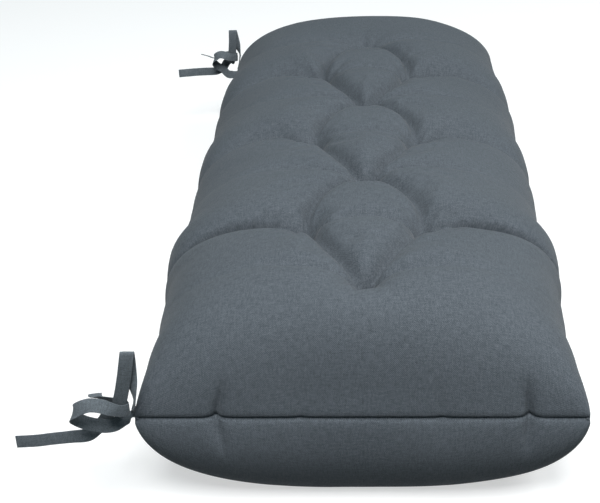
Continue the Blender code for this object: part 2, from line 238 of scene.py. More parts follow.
# %% [markdown]
# ## A grid that is finest where the cloth turns
# A panel is one sheet of quads laid over the plan. Even steps would leave the steep edge in a few
# long faces, so the steps there are even in angle, as on a circle, and the last ones are very short to
# give the seam a crisp groove. Bands of short steps are let in where the thin folds run: round the two
# strong gathers and behind the near lobes.

# %% Steps across and along a panel
EVEN_ACROSS = 3 * PAIR_HALF
EVEN_ALONG = 3.5 * ROW_PITCH
SEAM_ANGLES = (0.040, 0.014, 0.0045, 0.0016, 0.0)


def steps_to_edge(even_to, half, even_cells, turn_cells):
    """Even places out to even_to, then half times the power 2 / lean of the sine of even angles, to the
    seam, and the same on the other side."""
    even = np.linspace(0, even_to, even_cells + 1)
    start = math.asin((even_to / half) ** (LEAN / 2))
    angles = np.linspace(start, math.pi / 2 - SEAM_ANGLES[0], turn_cells)[1:]
    angles = np.concatenate([angles, math.pi / 2 - np.array(SEAM_ANGLES[1:])])
    places = np.concatenate([even, half * np.sin(angles) ** (2 / LEAN)])
    return np.concatenate([-places[:0:-1], places])


def with_bands(places, middles, half, cells):
    """The places with those inside each band swapped for even short steps across it."""
    for middle in middles:
        outside = places[np.abs(places - middle) > half * (1 + 1 / cells)]
        places = np.concatenate([outside, np.linspace(middle - half, middle + half, cells + 1)])
    return np.sort(places)


GATHER_BAND_HALF = 0.009
PINCH_BAND_HALF = 0.014
PINCH_BAND_AHEAD = 0.011
fine_across = steps_to_edge(EVEN_ACROSS, WIDTH / 2, 51, 16)
fine_across = with_bands(fine_across, (GATHERS[0].x, GATHERS[-1].x), GATHER_BAND_HALF, 12)
fine_along = steps_to_edge(EVEN_ALONG, LENGTH / 2, 112, 33)
fine_along = with_bands(fine_along, (row_place(PINCHED_ROW) + PINCH_BAND_AHEAD,), PINCH_BAND_HALF, 22)
print("fine panel grid", len(fine_across), "by", len(fine_along))

# %% [markdown]
# ## The smooth pad
# Without its tufts the pad is a pillow: across, a superellipse that is leaner at the ends and fuller at
# the side lobes, and along, level and then rounded down to the end seams. The side seams are drawn
# in where the pairs pull them, by a few millimetres, which a short table gives.

# %% The side seams and the pad's form
SideLine = namedtuple("SideLine", "y out")
SIDE_LINE = [
    SideLine(-0.60, 0.0), SideLine(-0.55, -0.0056), SideLine(-0.50, -0.0090),
    SideLine(-0.45, -0.0063), SideLine(-0.40, -0.0050), SideLine(-0.35, 0.0045),
    SideLine(-0.30, 0.0063), SideLine(-0.25, -0.0055), SideLine(-0.20, -0.0055),
    SideLine(-0.15, -0.0030), SideLine(-0.10, -0.0006), SideLine(-0.05, 0.0024),
    SideLine(0.00, 0.0010), SideLine(0.05, -0.0029), SideLine(0.10, -0.0025),
    SideLine(0.15, 0.0001), SideLine(0.20, 0.0028), SideLine(0.25, 0.0034),
    SideLine(0.30, 0.0010), SideLine(0.35, -0.0029), SideLine(0.40, -0.0047),
    SideLine(0.50, -0.0051), SideLine(0.60, 0.0),
]


def side_offset(y):
    """How far the side seam stands out of a straight line, eased between the table's places."""
    line = np.array(SIDE_LINE)
    k = np.clip(np.searchsorted(line[:, 0], y) - 1, 0, len(line) - 2)
    t = np.clip((y - line[k, 0]) / (line[k + 1, 0] - line[k, 0]), 0, 1)
    return line[k, 1] + (line[k + 1, 1] - line[k, 1]) * t * t * (3 - 2 * t)


def smooth_half(across, along, height):
    """Height times (1 - u to the p) to the 1/p times (1 - v to the q) to the 1/q, where u is the share
    of the half width and v the share of the rounded end, over the plan's grid."""
    x, y = np.meshgrid(across, along, indexing="ij")
    end_round = np.where(y < 0, NEAR_ROUND, FAR_ROUND)
    u = np.abs(x) / (WIDTH / 2)
    v = np.clip(1 - (LENGTH / 2 - np.abs(y)) / end_round, 0, 1)
    lobes = 0.5 + 0.5 * np.cos(math.pi * y / LOBE_STEP)
    inner = np.clip((LENGTH / 2 - np.abs(y)) / LOBE_STEP - 1, 0, 1)
    power = LEAN + (FULL - LEAN) * lobes * inner
    rise = (1 - u**power) ** (1 / power) * (1 - v**END_FULLNESS) ** (1 / END_FULLNESS)
    x = x * (1 + side_offset(y) / (WIDTH / 2) * u**2)
    return np.stack([x, y, rise * height], -1)


def outward(points):
    """Unit normals of a half facing up: the cross product of the grid's two slopes, and level along the
    seam."""
    normal = np.cross(np.gradient(points, axis=0), np.gradient(points, axis=1))
    normal[0], normal[-1] = (-1, 0, 0), (1, 0, 0)
    normal[:, 0], normal[:, -1] = (0, -1, 0), (0, 1, 0)
    for i in (0, -1):
        for j in (0, -1):
            normal[i, j] = (-1 if i == 0 else 1, -1 if j == 0 else 1, 0)
    return normal / np.linalg.norm(normal, axis=-1, keepdims=True)


pillow = smooth_half(fine_across, fine_along, CROWN)
print("smooth pad rises", round(float(pillow[..., 2].max()), 3), "m above its seam")

# %% [markdown]
# ## Small life in the cloth
# A real pad is never as even as its pattern. Fibre filling lies in soft lumps a hand wide, and the
# stitch of each tuft throws a ring of short puckers. Both are sums of waves with fixed directions, so
# the pad comes out the same each time.

# %% Soft lumps and tuft puckers
LUMP_HEIGHT = 0.0011
LUMP_WAVES = 14
LUMP_NUMBERS = (18, 70)
FULL_LIFE_HEIGHT = 0.03
PUCKER_DEPTH = 0.0028
PUCKER_REACH = 0.015
lump_rng = np.random.default_rng(7)
lump_waves = [
    (lump_rng.uniform(*LUMP_NUMBERS), lump_rng.uniform(0, math.pi), lump_rng.uniform(0, 2 * math.pi))
    for _ in range(LUMP_WAVES)
]
pucker_phases = lump_rng.uniform(0, 2 * math.pi, (len(tuft_places()), 2))


def soft_lumps(x, y):
    """The sum of plane waves over the root of their count, each the sine of its wave number times the
    way along it."""
    total = np.zeros(x.shape)
    for number, heading, phase in lump_waves:
        total += np.sin(number * (x * math.cos(heading) + y * math.sin(heading)) + phase)
    return LUMP_HEIGHT * total / math.sqrt(len(lump_waves))


def tuft_puckers(x, y):
    """Round each tuft, a wave in the angle that grows and dies with the distance from the stitch."""
    total = np.zeros(x.shape)
    for (tuft_x, tuft_y), (first, second) in zip(tuft_places(), pucker_phases):
        gap = np.hypot(x - tuft_x, y - tuft_y) / PUCKER_REACH
        angle = np.arctan2(y - tuft_y, x - tuft_x)
        wave = 0.6 * np.cos(7 * angle + first) + 0.4 * np.cos(11 * angle + second)
        total += wave * gap * np.exp(1 - gap)
    return PUCKER_DEPTH * total


print(len(lump_waves), "lump waves and puckers round", len(pucker_phases), "tufts")

# %% [markdown]
# ## The tufted panels
# Each panel is the smooth pad moved inwards by the relief along its own normals. The rim is drawn in
# a little more, which makes the plain seam a thin shadow line, and the lower panel is pressed flat
# where it lies on the floor.

# %% Tufted halves
SEAM_GROOVE = 0.0050
SEAM_SHOULDER = 0.0016
END_SLANT = 0.009
END_BULGE = 0.010
END_START = 0.47
END_FADE = 0.08


def seam_draw(base):
    """Depth of the groove: it dies away with the height above the seam, over a few millimetres."""
    return SEAM_GROOVE * np.exp(-np.abs(base[..., 2]) / SEAM_SHOULDER)


def settled_ends(half, reach, shift):
    """Ends moved along by shift times four t (1 - t), where t is the height's share of the reach: nought
    at the seam and at the reach, and most half way. It fades in over the rounded ends."""
    t = np.clip(half[..., 2] / reach, 0, 1)
    near_end = np.clip((np.abs(half[..., 1]) - END_START) / END_FADE, 0, 1)
    near_end = near_end**2 * (3 - 2 * near_end)
    half[..., 1] += np.sign(half[..., 1]) * shift * 4 * t * (1 - t) * near_end
    return half


def tufted_half(across, along, height, folds=0.0):
    """Smooth half less its normals times (relief + groove + gathers - folds - lumps - puckers). The
    pinched folds fade out below the seam."""
    base = smooth_half(across, along, height)
    x, y = base[..., 0], base[..., 1]
    away = np.clip(base[..., 2] / FULL_LIFE_HEIGHT, 0, 1)
    pinched = np.clip(1 - base[..., 2] / PINCH_REACH_BELOW, 0, 1) ** 2 if height == DROP else 1.0
    pressed = relief(x, y, pinched) + seam_draw(base) + gather_pull(x, base[..., 2])
    depth = pressed - (folds + soft_lumps(x, y) + tuft_puckers(x, y)) * away
    half = base - outward(base) * depth[..., None]
    half[[0, -1], :, 2] = 0
    half[:, [0, -1], 2] = 0
    return half


def lying_flat(height):
    """Depths below the seam: eased to the seam's height, where the floor is."""
    share = np.clip((height - SEAM_HEIGHT + CONTACT_EDGE) / (2 * CONTACT_EDGE), 0, 1)
    eased = SEAM_HEIGHT - CONTACT_EDGE + CONTACT_EDGE * share * (2 - share)
    return np.where(height < SEAM_HEIGHT - CONTACT_EDGE, height, eased)


print("seam groove", SEAM_GROOVE * 1000, "mm deep and", SEAM_SHOULDER * 1000, "mm to a shoulder")

# %% [markdown]
# ## From grids to a mesh
# The two panels share the vertices of their rim, so the cushion is one closed skin. Whole arrays go
# into the mesh at once. Each face corner also gets a place on the flat cloth, in metres, measured
# along the threads, so that the weave later follows the surface.

# %% Mesh helpers
def quads(index, flip):
    """Four corners of each cell of a grid of vertex numbers, turned round where flip is true."""
    corners = [index[:-1, :-1], index[1:, :-1], index[1:, 1:], index[:-1, 1:]]
    return np.stack(corners[::-1] if flip else corners, -1).reshape(-1, 4)


def thread_lengths(points):
    """Running length along each thread from the middle one: cumulative sums of the steps between
    neighbours, across and along."""
    u = np.zeros(points.shape[:2])
    v = np.zeros(points.shape[:2])
    u[1:] = np.cumsum(np.linalg.norm(np.diff(points, axis=0), axis=-1), axis=0)
    v[:, 1:] = np.cumsum(np.linalg.norm(np.diff(points, axis=1), axis=-1), axis=1)
    u -= u[u.shape[0] // 2]
    v -= v[:, v.shape[1] // 2][:, None]
    return np.stack([u, v], -1)


def shell(upper, lower):
    """Points and quads of two grids that share their rim, and the same quads as places in each grid."""
    rows, columns = upper.shape[:2]
    above = np.arange(rows * columns).reshape(rows, columns)
    below = above.copy()
    inner = np.arange((rows - 2) * (columns - 2)).reshape(rows - 2, columns - 2)
    below[1:-1, 1:-1] = inner + rows * columns
    points = np.concatenate([upper.reshape(-1, 3), lower[1:-1, 1:-1].reshape(-1, 3)])
    faces = np.concatenate([quads(above, False), quads(below, True)])
    return points, faces, (quads(above, False), quads(above, True))


def put_mesh(name, points, faces, corner_places=None):
    """A new object of quads from whole arrays, with the flat places of its face corners as a UV map."""
    mesh = bpy.data.meshes.new(name)
    mesh.vertices.add(len(points))
    mesh.vertices.foreach_set("co", np.ascontiguousarray(points, np.float32).ravel())
    mesh.loops.add(faces.size)
    mesh.loops.foreach_set("vertex_index", np.ascontiguousarray(faces, np.int32).ravel())
    mesh.polygons.add(len(faces))
    mesh.polygons.foreach_set("loop_start", np.arange(0, faces.size, 4, dtype=np.int32))
    mesh.update(calc_edges=True)
    mesh.polygons.foreach_set("use_smooth", np.ones(len(faces), bool))
    if corner_places is not None:
        layer = mesh.uv_layers.new(name="flat_cloth")
        layer.uv.foreach_set("vector", np.ascontiguousarray(corner_places, np.float32).ravel())
    made = bpy.data.objects.new(name, mesh)
    bpy.context.scene.collection.objects.link(made)
    return made


print("a grid of 3 by 3 points has", len(quads(np.arange(9).reshape(3, 3), False)), "quads")

# %% [markdown]
# ## Folds from a cloth simulation
# Creases drawn one by one look too tidy. So a coarser copy of the skin is blown up for twenty frames as
# cloth that is a little larger than the pad, held at the seam, in the tufts and creases and on the
# floor. Only the short waves of what it does are kept, as folds along the normals: the pad's outline
# stays the fitted one, and the cloth gets the soft buckles of slack fabric. The same start gives the
# same folds each time, and nothing of the simulation stays in the scene.

# %% Simulated folds
SLACK = 0.035
PRESSURE = 4.0
FOLD_CAP = 0.006
FOLD_SHARE = 0.7
SMOOTH_CELLS = 4
CLOTH_FRAMES = 20
CLOTH_BENDING = 0.6
CLOTH_QUALITY = 6
HELD_RELIEF = 0.030
HELD_FLOOR_GAP = 0.02
FOLDS_ACROSS = (0.130, 0.215)
FOLDS_ALONG = (0.430, 0.540)
coarse_across = steps_to_edge(EVEN_ACROSS, WIDTH / 2, 26, 9)
coarse_along = steps_to_edge(EVEN_ALONG, LENGTH / 2, 60, 18)


def blurred(field, cells):
    """The field averaged over its neighbours three times by a box, which is close to a bell curve."""
    box = np.ones(2 * cells + 1) / (2 * cells + 1)
    for _ in range(3):
        for axis in (0, 1):
            widths = [(cells, cells) if a == axis else (0, 0) for a in (0, 1)]
            wider = np.pad(field, widths, mode="edge")
            field = np.apply_along_axis(lambda line: np.convolve(line, box, mode="valid"), axis, wider)
    return field


def spline_matrix(known, wanted):
    """Rows that turn values at known places into a natural cubic spline's values at wanted ones."""
    count = len(known)
    step = np.diff(known)
    bend = np.eye(count)
    load = np.zeros((count, count))
    inner = np.arange(1, count - 1)
    bend[inner, inner - 1], bend[inner, inner + 1] = step[:-1], step[1:]
    bend[inner, inner] = 2 * (step[:-1] + step[1:])
    load[inner, inner - 1], load[inner, inner + 1] = 6 / step[:-1], 6 / step[1:]
    load[inner, inner] = -6 / step[:-1] - 6 / step[1:]
    second = np.linalg.solve(bend, load)
    k = np.clip(np.searchsorted(known, wanted) - 1, 0, count - 2)
    b = ((wanted - known[k]) / step[k])[:, None]
    a = 1 - b
    unit = np.eye(count)
    curve = ((a**3 - a) * second[k] + (b**3 - b) * second[k + 1]) * step[k][:, None] ** 2 / 6
    return a * unit[k] + b * unit[k + 1] + curve


def blown_up(points, faces, hold):
    """The skin's points after the frames as cloth under pressure, with held points kept."""
    dummy = put_mesh("cloth_trial", points, faces)
    group = dummy.vertex_groups.new(name="held")
    for weight in np.unique(hold):
        if weight > 0:
            group.add(np.flatnonzero(hold == weight).tolist(), float(weight), "REPLACE")
    cloth = dummy.modifiers.new("cloth", "CLOTH")
    cloth.settings.vertex_group_mass = "held"
    cloth.settings.shrink_min = -SLACK
    cloth.settings.use_pressure = True
    cloth.settings.uniform_pressure_force = PRESSURE
    cloth.settings.effector_weights.gravity = 0
    cloth.settings.bending_stiffness = CLOTH_BENDING
    cloth.settings.quality = CLOTH_QUALITY
    cloth.point_cache.frame_start = 1
    cloth.point_cache.frame_end = CLOTH_FRAMES
    for step in range(1, CLOTH_FRAMES + 1):
        bpy.context.scene.frame_set(step)
    seen = dummy.evaluated_get(bpy.context.evaluated_depsgraph_get()).to_mesh()
    moved = np.zeros(len(points) * 3, np.float32)
    seen.vertices.foreach_get("co", moved)
    bpy.context.scene.frame_set(1)
    bpy.data.objects.remove(dummy)
    return moved.reshape(-1, 3).astype(float)


def inside_share(places, full, none):
    """One inside full, nought outside none, and 3 t squared less 2 t cubed between them."""
    t = np.clip((none - np.abs(places)) / (none - full), 0, 1)
    return t * t * (3 - 2 * t)


def short_folds(before, after):
    """The move along the normals less its own blur, capped, and faded out before the edges."""
    shift = ((after - before) * outward(before)).sum(-1)
    short = np.clip(shift - blurred(shift, SMOOTH_CELLS), -FOLD_CAP, FOLD_CAP)
    across = inside_share(coarse_across, *FOLDS_ACROSS)
    along = inside_share(coarse_along, *FOLDS_ALONG)
    return FOLD_SHARE * short * across[:, None] * along[None, :]


def simulated_folds():
    """Folds of the upper and the lower panel on the fine grid."""
    upper = tufted_half(coarse_across, coarse_along, CROWN)
    lower = tufted_half(coarse_across, coarse_along, DROP)
    grid = upper.shape[:2]
    floor_gap = SEAM_HEIGHT - lower[..., 2]
    raised = (0, 0, SEAM_HEIGHT)
    points, faces, _ = shell(upper + raised, lower * (1, 1, -1) + raised)
    flat = smooth_half(coarse_across, coarse_along, 1.0)
    hold_up = np.clip(relief(flat[..., 0], flat[..., 1]) / HELD_RELIEF, 0, 1) ** 2
    hold_low = np.maximum(hold_up, np.clip(1 - floor_gap / HELD_FLOOR_GAP, 0, 1))
    for hold in (hold_up, hold_low):
        hold[[0, -1]] = hold[:, [0, -1]] = 1
    held = np.round(np.concatenate([hold_up.ravel(), hold_low[1:-1, 1:-1].ravel()]), 2)
    moved = blown_up(points, faces, held)
    count = upper.size // 3
    new_upper = moved[:count].reshape(*grid, 3) - raised
    new_lower = new_upper * (1, 1, -1)
    new_lower[1:-1, 1:-1] = moved[count:].reshape(grid[0] - 2, grid[1] - 2, 3) - raised
    new_lower[..., 2] *= -1
    to_across = spline_matrix(coarse_across, fine_across)
    to_along = spline_matrix(coarse_along, fine_along)
    pairs = ((upper, new_upper), (lower, new_lower))
    return [to_across @ short_folds(before, after) @ to_along.T for before, after in pairs]


upper_folds, lower_folds = simulated_folds()
print(f"folds from {upper_folds.min() * 1000:.1f} to {upper_folds.max() * 1000:.1f} mm")

# %% [markdown]
# ## The cushion's skin
# Now both fine panels are worked out with their folds, joined at the rim and put into one mesh. It
# stands for the solid cushion and rides on the only body.

# %% Build the cushion
upper = settled_ends(tufted_half(fine_across, fine_along, CROWN, upper_folds), CROWN, -END_SLANT)
lower = settled_ends(tufted_half(fine_across, fine_along, DROP, lower_folds), SEAM_HEIGHT, END_BULGE)
lower[..., 2] = -lying_flat(lower[..., 2])
seam_level = (0, 0, SEAM_HEIGHT)
points, faces, (upper_cells, lower_cells) = shell(upper + seam_level, lower + seam_level)
upper_places = thread_lengths(smooth_half(fine_across, fine_along, CROWN)).reshape(-1, 2)
lower_places = thread_lengths(smooth_half(fine_across, fine_along, DROP)).reshape(-1, 2)
corner_places = np.concatenate([upper_places[upper_cells.ravel()], lower_places[lower_cells.ravel()]])
cushion = put_mesh("cushion_cover", points, faces, corner_places)
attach(cushion, "root")
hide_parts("cushion")
print("cushion skin:", 2 * len(faces), "triangles")

# %% [markdown]
# ## The tie tapes
# At each corner of one long side two narrow tapes come out of the seam and are tied in a bow, to hold
# the cushion on a bench. A tape is a flat folded strip, stitched near both edges. Its middle line is a
# smooth curve through a few stations, each with the direction of the tape's width.

# %% Stations of the tapes
Station = namedtuple("Station", "out along up wide_out wide_along wide_up")


def stations(*rows):
    """Stations from rows of six numbers: a place in metres, then a direction."""
    return [Station(*row) for row in rows]


LYING_LOOP = stations(
    (-0.0031, 0.0085, -0.0011, 0.00, 1.00, 0.00), (0.0050, 0.0083, -0.0020, 0.00, 1.00, 0.00),
    (0.0135, 0.0055, -0.0058, 0.00, 0.50, 0.85), (0.0230, 0.0025, -0.0095, 0.10, 0.45, 0.88),
    (0.0330, 0.0025, -0.0100, 0.00, 0.45, 0.89), (0.0430, 0.0035, -0.0078, -0.10, 0.44, 0.90),
    (0.0536, 0.0035, -0.0050, -0.10, 0.42, 0.90), (0.0620, 0.0010, 0.0010, -0.20, 0.38, 0.90),
    (0.0665, -0.0040, 0.0085, -0.30, 0.30, 0.90), (0.0640, -0.0088, 0.0165, -0.30, 0.20, 0.92),
    (0.0575, -0.0105, 0.0220, -0.10, 0.45, 0.88), (0.0475, -0.0110, 0.0255, 0.00, 0.62, 0.78),
    (0.0355, -0.0118, 0.0252, 0.00, 0.60, 0.80), (0.0245, -0.0130, 0.0225, 0.10, 0.35, 0.93),
    (0.0150, -0.0126, 0.0198, 0.10, 0.00, 1.00), (0.0070, -0.0108, 0.0190, 0.00, 0.00, 1.00),
    (0.0038, -0.0058, 0.0188, 0.00, 0.00, 1.00), (0.0074, -0.0010, 0.0188, 0.00, 0.00, 1.00),
)
STANDING_LOOP = stations(
    (-0.0027, 0.0085, 0.0013, 0.00, 1.00, 0.00), (0.0010, 0.0085, 0.0020, 0.00, 1.00, 0.00),
    (0.0028, 0.0085, 0.0065, 0.00, 1.00, 0.00), (0.0012, 0.0065, 0.0125, 0.00, 1.00, 0.10),
    (-0.0003, 0.0000, 0.0190, 0.10, 1.00, 0.20), (-0.0015, -0.0070, 0.0270, 0.25, 0.95, 0.10),
    (0.0005, -0.0078, 0.0390, 0.60, 0.80, 0.00), (0.0035, -0.0060, 0.0520, 0.90, 0.40, 0.00),
    (0.0062, -0.0048, 0.0640, 0.98, 0.20, 0.00), (0.0085, -0.0050, 0.0760, 0.99, 0.10, 0.00),
    (0.0103, -0.0060, 0.0845, 1.00, 0.00, 0.00), (0.0104, -0.0088, 0.0848, 1.00, 0.00, 0.00),
    (0.0106, -0.0104, 0.0750, 1.00, 0.00, 0.00), (0.0112, -0.0104, 0.0600, 1.00, 0.00, 0.05),
    (0.0126, -0.0092, 0.0430, 1.00, 0.00, 0.10), (0.0142, -0.0078, 0.0300, 0.98, 0.00, 0.18),
    (0.0160, -0.0062, 0.0200, 0.96, 0.00, 0.25), (0.0172, -0.0050, 0.0112, 0.92, 0.05, 0.35),
    (0.0205, 0.0020, 0.0062, 0.85, 0.20, 0.45), (0.0250, 0.0128, 0.0052, 0.85, 0.25, 0.45),
    (0.0300, 0.0200, -0.0015, 0.75, 0.10, 0.65), (0.0360, 0.0205, -0.0120, 0.50, 0.10, 0.85),
)
NEAR_LYING_END = stations(
    (0.0150, 0.0010, 0.0200, 0.00, -0.10, 1.00), (0.0250, 0.0030, 0.0215, 0.15, -0.30, 0.95),
    (0.0350, 0.0085, 0.0205, 0.45, -0.40, 0.80), (0.0430, 0.0165, 0.0175, 0.80, -0.50, 0.40),
    (0.0480, 0.0265, 0.0135, 0.95, -0.30, 0.10), (0.0500, 0.0370, 0.0095, 1.00, -0.20, 0.00),
)
FAR_LYING_END = stations(
    (0.0150, 0.0002, 0.0200, 0.00, -0.10, 1.00), (0.0250, 0.0020, 0.0210, 0.00, -0.20, 0.98),
    (0.0380, 0.0065, 0.0165, 0.10, -0.75, 0.65), (0.0520, 0.0130, 0.0110, 0.10, -0.95, 0.31),
    (0.0650, 0.0140, 0.0150, 0.10, -0.95, 0.31), (0.0790, 0.0150, 0.0190, 0.10, -0.95, 0.31),
)
NEAR_STANDING_END = stations(
    (0.0450, 0.0185, -0.0205, 0.25, 0.25, 0.94), (0.0560, 0.0130, -0.0262, 0.10, 0.35, 0.93),
    (0.0750, 0.0110, -0.0275, 0.05, 0.15, 0.98), (0.0950, 0.0090, -0.0285, 0.05, 0.12, 0.99),
    (0.1150, 0.0070, -0.0298, 0.05, 0.12, 0.99), (0.1375, 0.0060, -0.0305, 0.05, 0.12, 0.99),
)
FAR_STANDING_END = stations(
    (0.0440, 0.0185, -0.0175, 0.25, 0.20, 0.95), (0.0530, 0.0130, -0.0190, 0.10, 0.30, 0.95),
    (0.0720, 0.0110, -0.0188, 0.05, 0.32, 0.95), (0.0930, 0.0090, -0.0190, 0.05, 0.32, 0.95),
    (0.1265, 0.0060, -0.0205, 0.05, 0.32, 0.95),
)
print(len(LYING_LOOP) + len(NEAR_LYING_END), "stations on the near lying tape")

# %% [markdown]
# ## Where the bows sit
# Both bows use the same loops. A bow stands off its seam corner by a little, its lying loop can be
# shorter, its loops higher or lower, and it can lean to the cushion.

# %% Corners with ties
TieCorner = namedtuple(
    "TieCorner", "name x y off_out off_along off_up reach rise_lying rise_standing lean")
NEAR_TIE = TieCorner("near", -0.25, -0.595, 0.0015, -0.0070, 0.0, 1.0, 1.10, 1.10, 0.17)
FAR_TIE = TieCorner("far", -0.25, 0.578, -0.0010, 0.0160, 0.0105, 0.68, 1.0, 0.86, 0.01)
KNOT_REACH = 0.020
TAPE_WIDTH = 0.0155
TAPE_THICK = 0.0012
STEPS_PER_STATION = 8


def reached(place, reach):
    """A station of the lying loop, drawn in or out beyond the knot."""
    past = max(place.out - KNOT_REACH, 0)
    return place._replace(out=place.out - past + past * reach)


def through(path):
    """A Catmull-Rom curve through the stations: cubic pieces whose slope at a station is half the way
    between its neighbours."""
    rows = np.array(path)
    rows = np.concatenate([2 * rows[:1] - rows[1:2], rows, 2 * rows[-1:] - rows[-2:-1]])
    t = (np.arange((len(path) - 1) * STEPS_PER_STATION + 1) / STEPS_PER_STATION)[:, None]
    k = np.minimum(t[:, 0].astype(int), len(path) - 2)
    t = t - k[:, None]
    a, b, c, d = rows[k], rows[k + 1], rows[k + 2], rows[k + 3]
    square, cube = 2 * a - 5 * b + 4 * c - d, 3 * b - a - 3 * c + d
    return 0.5 * (2 * b + (c - a) * t + square * t**2 + cube * t**3)


def tape_line(path, corner, rise):
    """Middle line, width direction and face direction of a tape at a corner, as arrays."""
    line = through(path)
    share = np.clip(np.arange(len(line)) / (3 * STEPS_PER_STATION) - 2 / 3, 0, 1)
    up = line[:, 2] * rise + corner.off_up * share
    out = line[:, 0] + corner.off_out * share - corner.lean * np.maximum(up, 0) * share
    along = line[:, 1] + corner.off_along * share
    middle = np.stack([corner.x - out, corner.y + along, SEAM_HEIGHT + up], 1)
    run = np.gradient(middle, axis=0)
    run /= np.linalg.norm(run, axis=1, keepdims=True)
    wide = line[:, 3:] * (-1, 1, 1)
    wide -= (wide * run).sum(1, keepdims=True) * run
    wide /= np.linalg.norm(wide, axis=1, keepdims=True)
    return middle, wide, np.cross(run, wide)


print("two bows of two tapes each,", TAPE_WIDTH * 1000, "mm wide")

# %% [markdown]
# ## The tape's section
# A cut across the tape is a thin lens with square shoulders: full thickness over most of its width,
# rounded at the folded edges, thinner where the two rows of stitches press it. The loop of points goes
# once round, and carrying it along the middle line gives the surface.

# %% Sweep the tapes
STITCH_PLACE = 0.0056
STITCH_PRESS = 0.00022
STITCH_WIDTH = 0.0007
SECTION_STEPS = 18


def half_thickness(across):
    """Half the thickness at a place across: an eighth-power round of the edges, less a narrow dip at
    each row of stitches."""
    share = np.clip(np.abs(across) / (TAPE_WIDTH / 2), 0, 1)
    dip = STITCH_PRESS * np.exp(-(((np.abs(across) - STITCH_PLACE) / STITCH_WIDTH) ** 2))
    return TAPE_THICK / 2 * np.sqrt(1 - share**8) - dip * (share < 0.99)


def tape_surface(path, corner, rise):
    """The section's loop of points at every step of the middle line, as a closed grid, with the places
    of its corners on the flat tape."""
    middle, wide, face = tape_line(path, corner, rise)
    angle = np.linspace(-math.pi / 2, math.pi / 2, SECTION_STEPS + 1)
    across = np.concatenate([np.sin(angle), np.sin(angle[1:-1])[::-1]]) * TAPE_WIDTH / 2
    side = np.concatenate([np.full(SECTION_STEPS + 1, -1.0), np.full(SECTION_STEPS - 1, 1.0)])
    off = half_thickness(across) * side
    points = middle[:, None] + wide[:, None] * across[None, :, None] + face[:, None] * off[None, :, None]
    gone = np.concatenate([[0], np.cumsum(np.linalg.norm(np.diff(middle, axis=0), axis=1))])
    places = np.stack(np.broadcast_arrays(across[None, :], gone[:, None]), -1)
    return points, places, float(gone[-1])


def tape_faces(count, around):
    """Quads of a closed tube of rings, and a strip of quads over each end."""
    index = np.arange(count * around).reshape(count, around)
    turned = np.roll(index, -1, axis=1)
    body = np.stack([index[:-1], turned[:-1], turned[1:], index[1:]], -1).reshape(-1, 4)
    half = around // 2
    low = np.arange(0, half)
    high = (around - np.arange(0, half)) % around
    low_next = low + 1
    high_next = around - low_next
    cap = np.stack([low, high, high_next, low_next], -1)[1:-1]
    return body, cap


def build_tape(name, path, corner, rise, node):
    """One tape from its stations, riding on the body, standing for its solid."""
    points, places, length = tape_surface(path, corner, rise)
    count, around = points.shape[:2]
    body, cap = tape_faces(count, around)
    last = (count - 1) * around
    points = points.reshape(-1, 3)
    places = places.reshape(-1, 2)
    faces = np.concatenate([body, cap, cap[:, ::-1] + last])
    made = put_mesh(name, points, faces, places[faces.ravel()])
    close_tips(made)
    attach(made, "root")
    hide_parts(node)
    print(f"{name}: {length * 1000:.0f} mm long, {2 * len(faces)} triangles")
    return made


def close_tips(made):
    """The two triangles at the tips of each end's strip of quads, filled from their open edges."""
    work = bmesh.new()
    work.from_mesh(made.data)
    open_edges = [edge for edge in work.edges if edge.is_boundary]
    filled = bmesh.ops.holes_fill(work, edges=open_edges, sides=4)["faces"]
    for face in filled:
        face.smooth = True
    work.to_mesh(made.data)
    work.free()


ends_of = (
    (NEAR_TIE, NEAR_LYING_END, NEAR_STANDING_END),
    (FAR_TIE, FAR_LYING_END, FAR_STANDING_END),
)
tapes = []
for corner, lying_end, standing_end in ends_of:
    lying = [reached(place, corner.reach) for place in LYING_LOOP] + lying_end
    standing = STANDING_LOOP + standing_end
    tapes.append(build_tape(f"{corner.name}_lying_tie", lying, corner, corner.rise_lying,
                            f"{corner.name}_lying_tape"))
    tapes.append(build_tape(f"{corner.name}_standing_tie", standing, corner, corner.rise_standing,
                            f"{corner.name}_standing_tape"))

# %% [markdown]
# ## Woven cloth, first the helpers
# The cover and the tapes are both plain-woven from mixed dark and light grey fibres. A weave could be
# modelled thread by thread, but a thread here is about a millimetre wide and there are hundreds, so it
# is worked out in the shader. These helpers keep the node trees short to write.

# %% Node helpers
def add_node(tree, kind, **settings):
    """A node of a kind, with its properties set."""
    node = tree.nodes.new(kind)
    for name, value in settings.items():
        setattr(node, name, value)
    return node


def math_node(tree, operation, first, second=None, third=None):
    """A Math node fed from numbers or sockets, and its output."""
    node = add_node(tree, "ShaderNodeMath", operation=operation)
    for socket, value in zip(node.inputs, (first, second, third)):
        if value is None:
            continue
        if isinstance(value, bpy.types.NodeSocket):
            tree.links.new(value, socket)
        else:
            socket.default_value = value
    return node.outputs[0]


def stretched_noise(tree, u, v, u_scale, v_scale, detail):
    """Noise over the flat cloth, drawn out by its two scales."""
    place = add_node(tree, "ShaderNodeCombineXYZ")
    tree.links.new(math_node(tree, "MULTIPLY", u, u_scale), place.inputs[0])
    tree.links.new(math_node(tree, "MULTIPLY", v, v_scale), place.inputs[1])
    noise = add_node(tree, "ShaderNodeTexNoise", noise_dimensions="2D")
    noise.inputs["Scale"].default_value = 1.0
    noise.inputs["Detail"].default_value = detail
    tree.links.new(place.outputs[0], noise.inputs["Vector"])
    return noise.outputs["Fac"]


print("node helpers ready")

# %% [markdown]
# ## The weave as one shared effect
# Two crossed waves give the threads' height, and noise drawn out along each thread gives the slubs and
# the mottle of mixed yarn. It is one shader node group, built once, and each material places it with
# its own thread pitch.

